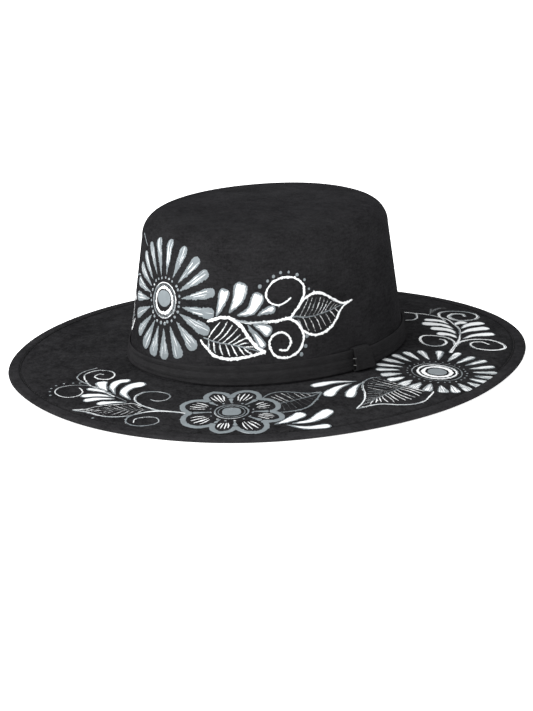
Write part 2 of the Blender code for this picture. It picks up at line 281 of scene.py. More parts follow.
def grid_mesh(name, points, wrap_rows=True, wrap_cols=True, caps=False):
    """A mesh from a grid of points, with UVs in metres along its middle row and column."""
    rows, cols = points.shape[:2]
    index = np.arange(rows * cols).reshape(rows, cols)
    r_next = index if not wrap_rows else np.vstack([index, index[:1]])
    full = r_next if not wrap_cols else np.hstack([r_next, r_next[:, :1]])
    faces = grid_faces(full)
    if caps:
        faces += [index[:, 0].tolist(), index[:, -1].tolist()]
    mesh = bpy.data.meshes.new(name)
    mesh.from_pydata(points.reshape(-1, 3).tolist(), [], faces)
    big = np.vstack([points, points[:1]]) if wrap_rows else points
    big = np.hstack([big, big[:, :1]]) if wrap_cols else big
    grid_u, grid_v = np.meshgrid(run_lengths(big[rows // 3]), run_lengths(big[:, cols // 3]))
    uv = np.stack([grid_u, grid_v], -1)
    corners = np.stack([uv[:-1, :-1], uv[:-1, 1:], uv[1:, 1:], uv[1:, :-1]], -2)
    flat = np.zeros((len(mesh.loops), 2))
    flat[: corners.size // 2] = corners.reshape(-1, 2)
    layer = mesh.uv_layers.new(name="UVMap")
    layer.data.foreach_set("uv", flat.ravel())
    return mesh


# ---------------------------------------------------------------- materials

class Shader:
    """A small helper that wires one procedural material."""

    def __init__(self, name):
        self.material = bpy.data.materials.new(name)
        self.material.use_nodes = True
        self.tree = self.material.node_tree
        self.surface = self.tree.nodes["Principled BSDF"]
        self.place = self.tree.nodes.new("ShaderNodeTexCoord")

    def link(self, source, target):
        self.tree.links.new(source, target)

    def node(self, kind, inputs=(), **settings):
        made = self.tree.nodes.new(kind)
        for key, value in settings.items():
            setattr(made, key, value)
        for key, value in dict(inputs).items():
            if hasattr(value, "links"):
                self.link(value, made.inputs[key])
            else:
                made.inputs[key].default_value = value
        return made

    def spot(self, stretch=(1, 1, 1), flat=False):
        source = self.place.outputs["UV" if flat else "Object"]
        return self.node("ShaderNodeMapping", {"Vector": source, "Scale": stretch}).outputs[0]

    def noise(self, scale, detail=3.0, rough=0.55, stretch=(1, 1, 1), flat=False):
        wanted = {"Vector": self.spot(stretch, flat), "Scale": scale}
        wanted.update({"Detail": detail, "Roughness": rough})
        return self.node("ShaderNodeTexNoise", wanted).outputs[0]

    def band(self, value, low, high, to_low=0.0, to_high=1.0):
        wanted = {"Value": value, "From Min": low, "From Max": high}
        wanted.update({"To Min": to_low, "To Max": to_high})
        return self.node("ShaderNodeMapRange", wanted).outputs[0]

    def math(self, operation, a, b=0.0):
        return self.node("ShaderNodeMath", {0: a, 1: b}, operation=operation).outputs[0]

    def weigh(self, *shares):
        """The sum of some values, each times its share."""
        parts = [self.math("MULTIPLY", value, share) for value, share in shares]
        total = parts[0]
        for part in parts[1:]:
            total = self.math("ADD", total, part)
        return total

    def swing(self, value, strength):
        """A value from 0 to 1, moved to swing round zero."""
        return self.math("MULTIPLY", self.math("SUBTRACT", value, 0.5), strength)

    def blend(self, share, first, second):
        made = self.node("ShaderNodeMix", data_type="RGBA")
        for slot, value in ((0, share), (6, first), (7, second)):
            if hasattr(value, "links"):
                self.link(value, made.inputs[slot])
            elif slot:
                made.inputs[slot].default_value = (*value, 1.0)
            else:
                made.inputs[slot].default_value = value
        return made.outputs[2]

    def bump(self, height, strength, distance, below=None):
        wanted = {"Height": height, "Strength": strength, "Distance": distance}
        if below is not None:
            wanted["Normal"] = below
        return self.node("ShaderNodeBump", wanted).outputs[0]

    def finish(self, colour, roughness, normal=None, **constants):
        for key, value in (("Base Color", colour), ("Roughness", roughness), ("Normal", normal)):
            if value is None:
                continue
            if hasattr(value, "links"):
                self.link(value, self.surface.inputs[key])
            else:
                self.surface.inputs[key].default_value = value
        for key, value in constants.items():
            self.surface.inputs[key.replace("_", " ")].default_value = value
        return self.material


NAP = {"Specular_IOR_Level": 0.0, "Sheen_Weight": 0.012, "Sheen_Roughness": 0.5,
       "Sheen_Tint": (0.70, 0.72, 0.80, 1.0)}


def suede(name, dark, light, nap=1.0, grain=1.0):
    """Brushed micro-suede: short nap lying in tufts, with soft handling marks."""
    s = Shader(name)
    fibre = s.noise(1900, 3, 0.7)
    tuft = s.noise(620, 4, 0.72)
    drawn = s.noise(300, 4, 0.7, (0.55, 0.55, 2.6))
    cloud = s.noise(38, 4, 0.6)
    drift = s.noise(9, 2, 0.5)
    mix = s.weigh((tuft, 0.55 * grain), (drawn, 0.50 * grain), (fibre, 0.35 * grain),
                  (cloud, 0.40), (drift, 0.25))
    middle = 0.70 * grain + 0.325
    share = s.band(mix, middle - 0.20, middle + 0.20)
    colour = s.blend(share, dark, light)
    rough = s.band(tuft, 0.3, 0.7, 0.86, 0.98)
    normal = s.bump(tuft, 0.30 * nap, 0.0005)
    normal = s.bump(fibre, 0.5 * nap, 0.0002, normal)
    return s.finish(colour, rough, normal, **NAP)


def ribbed_suede(name, dark, light):
    """The band's suede: the same nap, drawn along the strip."""
    s = Shader(name)
    drawn = s.noise(1.0, 4, 0.65, (160, 2600, 1), True)
    fibre = s.noise(1700, 3, 0.7)
    cloud = s.noise(60, 3, 0.6)
    mix = s.weigh((drawn, 0.6), (fibre, 0.4), (cloud, 0.4))
    colour = s.blend(s.band(mix, 0.48, 0.92), dark, light)
    normal = s.bump(drawn, 0.45, 0.0004)
    normal = s.bump(fibre, 0.4, 0.0002, normal)
    return s.finish(colour, s.band(fibre, 0.3, 0.7, 0.80, 0.95), normal, **NAP)


def satin(name):
    """Black satin with a fine warp and weft and soft drawn wrinkles."""
    s = Shader(name)
    warp = s.node("ShaderNodeTexWave", {"Vector": s.spot(), "Scale": 900.0, "Distortion": 1.2},
                  bands_direction="Z").outputs[1]
    wrinkle = s.noise(45, 3, 0.5, (1, 1, 0.35))
    colour = s.blend(s.noise(500, 3), (0.012, 0.012, 0.015), (0.028, 0.028, 0.033))
    normal = s.bump(wrinkle, 0.35, 0.0015)
    normal = s.bump(warp, 0.15, 0.0001, normal)
    return s.finish(colour, s.band(wrinkle, 0.3, 0.7, 0.26, 0.42), normal, Sheen_Weight=0.15,
                    Specular_IOR_Level=0.6)


def leather(name):
    """Dark brown sweatband leather: fine pores, creases and a worn sheen."""
    s = Shader(name)
    pores = s.node("ShaderNodeTexVoronoi", {"Vector": s.spot(), "Scale": 900.0},
                   feature="DISTANCE_TO_EDGE").outputs[0]
    crease = s.noise(160, 5, 0.6, (1, 1, 2.2))
    wear = s.noise(30, 3, 0.5)
    colour = s.blend(s.band(wear, 0.35, 0.7), (0.022, 0.014, 0.010), (0.060, 0.040, 0.029))
    normal = s.bump(s.band(pores, 0.0, 0.35), 0.35, 0.0002)
    normal = s.bump(crease, 0.3, 0.0005, normal)
    return s.finish(colour, s.band(wear, 0.3, 0.7, 0.45, 0.62), normal, Specular_IOR_Level=0.4)


def board(name):
    """Sized buckram and board: pale fibres with an open weave."""
    s = Shader(name)
    weave = s.node("ShaderNodeTexWave", {"Vector": s.spot(), "Scale": 320.0, "Distortion": 3.0},
                   bands_direction="DIAGONAL").outputs[1]
    fibre = s.noise(300, 5, 0.65)
    colour = s.blend(s.band(fibre, 0.3, 0.7), (0.20, 0.175, 0.135), (0.36, 0.33, 0.27))
    normal = s.bump(weave, 0.3, 0.0003)
    return s.finish(colour, s.band(fibre, 0.3, 0.7, 0.82, 0.95), normal)


def thread(name, dark, light):
    """Twisted polyester thread."""
    s = Shader(name)
    twist = s.noise(1.0, 3, 0.6, (2600, 2600, 5200))
    colour = s.blend(s.band(twist, 0.35, 0.65), dark, light)
    return s.finish(colour, s.band(twist, 0.3, 0.7, 0.5, 0.72), s.bump(twist, 0.6, 0.0001),
                    Specular_IOR_Level=0.1)


def metal(name, dark, light, rough):
    """Drawn or crimped metal with fine lengthwise marks."""
    s = Shader(name)
    mark = s.noise(900, 4, 0.6)
    colour = s.blend(mark, dark, light)
    return s.finish(colour, s.band(mark, 0.3, 0.7, rough - 0.08, rough + 0.1),
                    s.bump(mark, 0.2, 0.0001), Metallic=1.0)


GREY = (0.180, 0.205, 0.218)
WHITE = (0.86, 0.88, 0.89)
BARE = (0.014, 0.014, 0.015)


def paint(name):
    """Grey and white acrylic brushed on the nap.

    Attribute paint holds whiteness, cover and the distance in millimetres from the stroke's edge.
    """
    s = Shader(name)
    split = s.node("ShaderNodeSeparateXYZ", {
        0: s.node("ShaderNodeAttribute", attribute_name="paint").outputs["Vector"]})
    streak = s.noise(1.0, 2, 0.5, (34, 1300, 1), True)
    fine = s.noise(1500, 4, 0.75)
    lump = s.noise(520, 3, 0.6)
    white = s.band(s.math("ADD", split.outputs[0], s.swing(streak, 2.2)), 0.44, 0.60)
    edge = s.band(split.outputs[2], 0.0, 0.6, -0.46, 0.0)
    coat = s.math("ADD", split.outputs[1], s.swing(fine, 1.5))
    coat = s.math("ADD", coat, s.swing(lump, 0.7))
    coat = s.band(s.math("ADD", coat, edge), 0.30, 0.52)
    tint = s.blend(s.band(s.noise(180, 4, 0.65), 0.3, 0.7), GREY, tuple(0.80 * c for c in GREY))
    soiled = s.blend(s.band(fine, 0.35, 0.75), tuple(0.82 * c for c in WHITE), WHITE)
    colour = s.blend(white, tint, soiled)
    colour = s.blend(coat, BARE, colour)
    normal = s.bump(streak, 0.30, 0.0002)
    normal = s.bump(fine, 0.45, 0.00018, normal)
    return s.finish(colour, s.band(fine, 0.3, 0.7, 0.60, 0.80), normal, Specular_IOR_Level=0.25)


BLACK_SUEDE = suede("black_suede", (0.0062, 0.0060, 0.0064), (0.0215, 0.0212, 0.0225))
BRIM_SUEDE = suede("brim_suede", (0.0055, 0.0054, 0.0057), (0.0235, 0.0232, 0.0245), 1.3, 1.4)
HEM_SUEDE = suede("hem_suede", (0.0078, 0.0076, 0.0081), (0.0262, 0.0257, 0.0273), 1.2)
BAND_SUEDE = ribbed_suede("band_suede_drawn", (0.0075, 0.0073, 0.0077), (0.0250, 0.0247, 0.0258))
SATIN = satin("black_satin")
SWEAT_LEATHER = leather("sweatband_grain")
BOARD = board("sized_board")
BLACK_THREAD = thread("black_twist", (0.004, 0.004, 0.004), (0.016, 0.016, 0.017))
PALE_THREAD = thread("pale_twist", (0.06, 0.06, 0.06), (0.17, 0.17, 0.165))
STEEL = metal("drawn_steel", (0.36, 0.37, 0.39), (0.52, 0.53, 0.55), 0.38)
ALUMINIUM = metal("crimped_aluminium", (0.62, 0.62, 0.63), (0.78, 0.78, 0.79), 0.35)
ACRYLIC = paint("brushed_acrylic")


# ---------------------------------------------------------------- suede covers

def dome_mesh(name, profile, depth, thickness):
    """A shell closed over the crown's top. Its outer face lies depth inside the crown's."""
    theta, v = np.meshgrid(ring_turns(DOME_POINTS), profile)
    outer = crown_at(theta, v, -depth)
    inner = crown_at(theta, v, -depth - thickness)
    points = np.vstack([outer[::-1], inner])
    for row in (0, -1):
        points[row] = points[row].mean(0)
    return grid_mesh(name, points, wrap_rows=False)


def crown_cover():
    """The moulded suede skin of the crown, open below, as one closed shell."""
    profile = np.concatenate([
        np.linspace(GAP, WALL_HEIGHT, 30)[:-1],
        WALL_HEIGHT + np.linspace(0, SHOULDER_ARC, 17)[:-1],
        np.linspace(WALL_HEIGHT + SHOULDER_ARC, PROFILE_END, 22),
    ])
    mesh = dome_mesh("crown_suede", profile, 0.0, CROWN_COVER)
    piece = make_piece("crown_suede", mesh, BLACK_SUEDE, ["crown_cover"])


def brim_cover(name, node, inner, side):
    """The suede on one side of the brim: it steps down past the core and runs under the hem."""
    on_core = BRIM_CORE / 2 + GAP
    in_hem = GAP / 2
    w = np.concatenate([
        np.linspace(inner, CORE_END, 46),
        np.linspace(CORE_END + 0.0002, HEM_LINE - 0.0008, 9),
        np.linspace(HEM_LINE - 0.0004, HEM_LINE + HEM_TUCK, 5),
    ])
    drop = np.clip((w - CORE_END) / (HEM_LINE - 0.0010 - CORE_END), 0, 1)
    drop = drop * drop * (3 - 2 * drop)
    lift = on_core + (in_hem - on_core) * drop
    theta, wide = np.meshgrid(ring_turns(BRIM_POINTS), w)
    near = brim_at(theta, wide, side * lift[:, None])
    far = brim_at(theta, wide, side * (lift + COVER)[:, None])
    mesh = grid_mesh(name, np.vstack([near, far[::-1]]))
    piece = make_piece(name, mesh, BRIM_SUEDE, [node])


def hem_length():
    theta = ring_turns(720)
    line = brim_at(theta, HEM_LINE, 0.0)
    return float(np.linalg.norm(line - np.roll(line, 1, 0), axis=1).sum())


HEM_STITCHES = int(round(hem_length() / STITCH_PITCH))


def even_turns(count, w):
    """Angles that divide the brim's line at that width into equal lengths."""
    fine = np.linspace(0, TURN, 2881)
    line = brim_at(fine, w, 0.0)
    lengths = run_lengths(line)
    return np.interp(np.arange(count) / count * lengths[-1], lengths, fine)


def brim_hem():
    """The folded strip round the brim's edge, drawn in a little at every stitch."""
    outer, inner = HEM_STACK / 2, HEM_STACK / 2 - COVER
    flat = np.concatenate([np.linspace(HEM_LINE, HEM_LINE + 0.0016, 5),
                           np.linspace(HEM_LINE + 0.0022, HEM_BEND - 0.0008, 4)])
    count = HEM_STITCHES * SAMPLES_PER_STITCH
    theta = even_turns(count, HEM_LINE)
    phase = np.arange(count) / SAMPLES_PER_STITCH * TURN
    pucker = 0.5 + 0.5 * np.cos(phase)
    rows = []

    def flat_rows(widths, lift, side, draw):
        for w in widths:
            near = math.exp(-((w - HEM_LINE) / 0.0011) ** 2)
            edge = math.exp(-((w - HEM_LINE) / 0.0005) ** 2)
            sink = draw * (0.00016 * near * pucker + 0.00045 * edge)
            swell = draw * 0.00018 * math.sin(math.pi * (w - HEM_LINE) / (HEM_BEND - HEM_LINE))
            rows.append(brim_at(theta, w, side * (lift - sink + swell)))

    def fold_rows(radius, turns):
        for turn in turns:
            reach = HEM_BEND + radius * math.cos(math.radians(turn))
            rows.append(brim_at(theta, reach, radius * math.sin(math.radians(turn))))

    flat_rows(flat, outer, 1, 1.0)
    fold_rows(outer, (90, 60, 30, 0, -30, -60, -90))
    flat_rows(flat[::-1], outer, -1, 0.0)
    flat_rows(flat[::2], inner, -1, 0.0)
    fold_rows(inner, (-90, -45, 0, 45, 90))
    flat_rows(flat[::-2], inner, 1, 0.0)
    mesh = grid_mesh("hem_suede_fold", np.array(rows))
    piece = make_piece("hem_suede_fold", mesh, HEM_SUEDE, ["brim_hem"])


def stitch_mesh(name, lines, radius, sides=6):
    """Many short stitches as one mesh. Each line is an array of points along one stitch."""
    points, faces = [], []
    for line in lines:
        start = len(points)
        ahead = np.gradient(line, axis=0)
        ahead /= np.linalg.norm(ahead, axis=1, keepdims=True)
        side = np.cross(ahead, [0.0, 0.0, 1.0])
        side /= np.maximum(np.linalg.norm(side, axis=1, keepdims=True), 1e-6)
        over = np.cross(side, ahead)
        count = len(line)
        ends = np.sin(np.linspace(0.18, math.pi - 0.18, count)) ** 0.35
        for k in range(count):
            for i in range(sides):
                turn = TURN * i / sides
                push = math.cos(turn) * side[k] + math.sin(turn) * over[k]
                points.append(tuple(line[k] + radius * ends[k] * push))
        for k in range(count - 1):
            for i in range(sides):
                j = (i + 1) % sides
                a, b = start + k * sides, start + (k + 1) * sides
                faces.append((a + i, a + j, b + j, b + i))
        last = start + (count - 1) * sides
        faces.append(tuple(range(start, start + sides)))
        faces.append(tuple(range(last, last + sides)))
    mesh = bpy.data.meshes.new(name)
    mesh.from_pydata(points, [], faces)
    return mesh


def hem_stitches():
    """The hem's topstitching, one stitch at a time, on both sides of the brim."""
    theta = even_turns(HEM_STITCHES, HEM_LINE)
    step = TURN / HEM_STITCHES
    beside = GAP / 2 + COVER + 0.00045
    for name, node, side in (("hem_stitches_upper", "hem_thread_upper", 1),
                             ("hem_stitches_under", "hem_thread_under", -1)):
        lines = []
        for turn in theta:
            along = np.linspace(-0.38, 0.38, 6)
            rise = 0.00020 * (1 - (along / 0.38) ** 2) - 0.00016 * (abs(along) > 0.3)
            lines.append(brim_at(turn + along * step, HEM_LINE - 0.0005, side * (beside + rise)))
        make_piece(name, stitch_mesh(name, lines, STITCH_RADIUS), BLACK_THREAD,
                   [node])


# ---------------------------------------------------------------- hat band

def band_fold(theta, height):
    """Soft lengthwise folds of the band, in metres outwards."""
    share = (height - BAND_LOW) / (band_top(theta) - BAND_LOW)
    folds = 0.0
    for place, depth, width, beat, start in ((0.22, -0.26, 0.055, 2, 0.4),
                                             (0.45, 0.20, 0.09, 3, 2.0),
                                             (0.62, -0.30, 0.06, 2, 4.1),
                                             (0.83, 0.18, 0.07, 4, 1.0)):
        middle = place + 0.05 * np.sin(beat * theta + start)
        fade = 0.65 + 0.35 * np.sin(3 * theta + 2 * start)
        folds = folds + depth * fade * np.exp(-((share - middle) / width) ** 2)
    front = np.exp(-(angle_from(theta, -1.5) / 0.62) ** 2)
    crease = 0.66 + 0.04 * np.sin(2 * theta)
    folds = folds + front * (0.85 * np.exp(-((share - 0.36) / 0.20) ** 2)
                             - 0.50 * np.exp(-((share - crease) / 0.05) ** 2)
                             - 0.22 * np.exp(-((share - 0.47) / 0.03) ** 2)
                             + 0.20 * np.exp(-((share - 0.88) / 0.07) ** 2))
    return folds * MM


def band_top(theta):
    """Height of the band's upper edge: it dips at the front and beyond the keeper."""
    front = 0.0034 * np.exp(-(angle_from(theta, -1.9) / 0.85) ** 2)
    beyond = 0.0018 * np.exp(-((theta - KEEPER_TURN) % TURN / 1.2) ** 2)
    return BAND_HIGH - front - beyond


def hat_band():
    """The soft suede strip round the crown's foot; its ends meet under the keeper."""
    count = 900
    gap = math.radians(0.3)
    theta = KEEPER_TURN + np.linspace(gap, TURN - gap, count)
    away = np.abs(angle_from(theta, KEEPER_TURN))
    swell = 0.0011 * 0.5 * (1 + np.cos(math.pi * np.clip((away / TURN * 48 - 0.85) / 1.3, 0, 1)))
    rows = []
    low, high, half = BAND_LOW, band_top(theta), BAND_THICK / 2
    drift = 0.00025 * np.sin(3 * theta + 0.5) + 0.00018 * np.sin(7 * theta)
    face = GAP + BAND_THICK + swell

    def rolled_edge(middle, turns):
        for turn in turns:
            rise = half * math.sin(math.radians(turn))
            back = half * (1 - math.cos(math.radians(turn)))
            rows.append(crown_at(theta, middle + rise + drift, face - back))

    for share in np.linspace(0, 1, 26):
        height = low + half + (high - low - 2 * half) * share
        rows.append(crown_at(theta, height + drift, face + band_fold(theta, height)))
    rolled_edge(high - half, (30, 60, 90, 120, 150))
    for share in np.linspace(1, 0, 8):
        height = low + half + (high - low - 2 * half) * share
        rows.append(crown_at(theta, height + drift, GAP + swell))
    rolled_edge(low + half, (210, 240, 270, 300, 330))
    mesh = grid_mesh("hat_band_suede", np.array(rows), wrap_cols=False, caps=True)
    piece = make_piece("hat_band_suede", mesh, BAND_SUEDE, ["hat_band"])


def band_keeper():
    """The soft loop over the band's ends, a little skewed and lifted at its front edge."""
    low, high = BAND_LOW - 0.0009, BAND_HIGH + 0.0013
    lip, thick = 0.0042, KEEPER_THICK
    plate = GAP + thick + GAP + BAND_THICK + GAP
    outer = [(low + lip, 0.0), (low + 0.0012, 0.0), (low + 0.0003, 0.0005), (low, 0.0014)]
    outer += [(low + 0.0002, plate * 0.72), (low + 0.0010, plate + thick * 0.85)]
    outer += [(low + (high - low) * f, plate + thick + 0.0003 * math.sin(math.pi * f))
              for f in (0.14, 0.26, 0.38, 0.50, 0.62, 0.74, 0.86)]
    outer += [(high - 0.0010, plate + thick * 0.85), (high - 0.0002, plate * 0.72)]
    outer += [(high, 0.0014), (high - 0.0003, 0.0005), (high - 0.0012, 0.0), (high - lip, 0.0)]
    inner = [(high - lip, thick), (high - thick - 0.0006, thick), (high - thick, thick + 0.0004)]
    inner += [(high - thick, plate * 0.85), (high - thick - 0.0004, plate)]
    inner += [(low + (high - low) * f, plate + 0.0003 * math.sin(math.pi * f))
              for f in (0.80, 0.65, 0.50, 0.35, 0.20)]
    inner += [(low + thick + 0.0004, plate), (low + thick, plate * 0.85)]
    inner += [(low + thick, thick + 0.0004), (low + thick + 0.0006, thick), (low + lip, thick)]
    section = np.array(outer + inner)
    shares = np.sin(np.linspace(-math.pi / 2, math.pi / 2, 33))
    theta = KEEPER_TURN + KEEPER_REACH * shares
    rows = []
    for height, out in section:
        free = min(1.0, out / plate)
        up = (height - low) / (high - low)
        skew = -0.0016 * np.clip(shares, 0, 1) ** 2 * up
        front = 0.0008 * np.clip((-shares - 0.55) / 0.45, 0, 1) ** 2 * free
        belly = 0.0036 * (1 - up) ** 1.5 * (0.7 + 0.3 * shares)
        slack = free * (0.0009 * (1 - shares ** 4) + belly)
        edge = -0.0005 * free * np.abs(shares) ** 10
        rows.append(crown_at(theta, height + skew, GAP + out + front + slack + edge))
    mesh = grid_mesh("keeper_suede", np.array(rows), wrap_cols=False, caps=True)
    piece = make_piece("keeper_suede", mesh, BAND_SUEDE, ["band_keeper"])


def keeper_tacks():
    """Two hand stitches at the keeper's front edge."""
    front = KEEPER_TURN - KEEPER_REACH
    on_band = GAP + 0.0011 + BAND_THICK + 0.0003
    on_keeper = GAP + KEEPER_THICK + GAP + BAND_THICK + GAP + KEEPER_THICK + 0.0016
    for name, node, height in (("tack_upper", "keeper_tack_upper", 0.0092),
                               ("tack_lower", "keeper_tack_lower", 0.0046)):
        share = np.linspace(0, 1, 9)
        theta = front + math.radians(0.32) * (share - 0.6)
        out = on_band + (on_keeper - on_band) * np.clip((share - 0.2) * 1.6, 0, 1)
        out = out - 0.0004 * (share == 1)
        line = crown_at(theta, height + 0.0002 * share, out)
        make_piece(name, stitch_mesh(name, [line], TACK_RADIUS), PALE_THREAD,
                   [node])


# ---------------------------------------------------------------- inside

def lining():
    """Gathered satin side band and a moulded tip."""
    theta = ring_turns(LINING_POINTS)
    low, high = LINING_LOW, WALL_HEIGHT - GAP
    rows = []
    for depth, shares in ((LINING_DEPTH, np.linspace(0, 1, 16)),
                          (LINING_DEPTH + LINING, np.linspace(1, 0, 34))):
        for share in shares:
            height = low + (high - low) * share
            fold = 0.5 + 0.5 * np.sin(54 * theta + 2.2 * np.sin(3 * theta) + 2 * share)
            soft = 0.0005 * fold * (0.4 + 0.6 * share) * math.sin(math.pi * min(1, 0.15 + share))
            extra = soft if depth > LINING_DEPTH else 0.0
            rows.append(crown_at(theta, height, -(depth + extra)))
    mesh = grid_mesh("lining_side_satin", np.array(rows))
    side = make_piece("lining_side_satin", mesh, SATIN, ["crown_lining_side"])
    profile = np.concatenate([WALL_HEIGHT + np.linspace(0, SHOULDER_ARC, 12)[:-1],
                              np.linspace(WALL_HEIGHT + SHOULDER_ARC, PROFILE_END, 14)])
    mesh = dome_mesh("lining_tip_satin", profile, LINING_DEPTH, LINING)
    tip = make_piece("lining_tip_satin", mesh, SATIN, ["crown_lining_tip"])


def sweatband():
    """Leather strip inside the foot, with a rolled upper edge, butted at the back."""
    low, high = SWEAT_LOW, SWEAT_HIGH
    gap = math.radians(0.35)
    theta = math.pi / 2 + np.linspace(gap, TURN - gap, 640)
    rows = []
    wave = 0.00018 * np.sin(9 * theta) + 0.00012 * np.sin(23 * theta + 1)
    for share in np.linspace(0, 1, 16):
        height = low + (high - low) * share
        rows.append(crown_at(theta, height, -(SWEAT_DEPTH + 0.5 * wave * share)))
    for turn in (45, 90, 135):
        rise = SWEAT_ROLL * math.sin(math.radians(turn))
        inward = SWEAT_ROLL * (1 - math.cos(math.radians(turn)))
        rows.append(crown_at(theta, high + rise, -(SWEAT_DEPTH + inward + 0.5 * wave)))
    for share in np.linspace(1, 0, 22):
        height = low + (high - low) * share
        seam = 0.0002 * math.exp(-((height - SWEAT_SEAM) / 0.0010) ** 2)
        rows.append(crown_at(theta, height, -(SWEAT_DEPTH + LEATHER + 0.5 * wave * share - seam)))
    mesh = grid_mesh("sweatband_strip", np.array(rows), wrap_cols=False, caps=True)
    piece = make_piece("sweatband_strip", mesh, SWEAT_LEATHER, ["sweatband"])
    lines = []
    step = TURN / SWEAT_STITCHES
    for k in range(SWEAT_STITCHES):
        along = np.linspace(-0.36, 0.36, 5)
        rise = 0.00016 * (1 - (along / 0.36) ** 2)
        turn = math.pi / 2 + (k + 0.5 + along) * step
        lines.append(crown_at(turn, SWEAT_SEAM, -(SWEAT_DEPTH + LEATHER + 0.00012 + rise)))
    make_piece("sweatband_stitches", stitch_mesh("sweatband_stitches", lines, STITCH_RADIUS),
               BLACK_THREAD, ["sweatband_thread"])
    lines = []
    for k in range(ZIGZAG_STITCHES):
        side = 1 if k % 2 else -1
        share = np.linspace(-1, 1, 7)
        turn = math.pi / 2 + side * share * math.radians(1.5)
        height = 0.0060 + 0.0026 * (k + 0.5 + 0.5 * share)
        out = SWEAT_DEPTH + LEATHER + 0.0001 + 0.0002 * (1 - share ** 2)
        lines.append(crown_at(turn, height, -out))
    make_piece("sweatband_zigzag", stitch_mesh("sweatband_zigzag", lines, STITCH_RADIUS),
               BLACK_THREAD, ["sweatband_join_thread"])


# ---------------------------------------------------------------- painted flowers

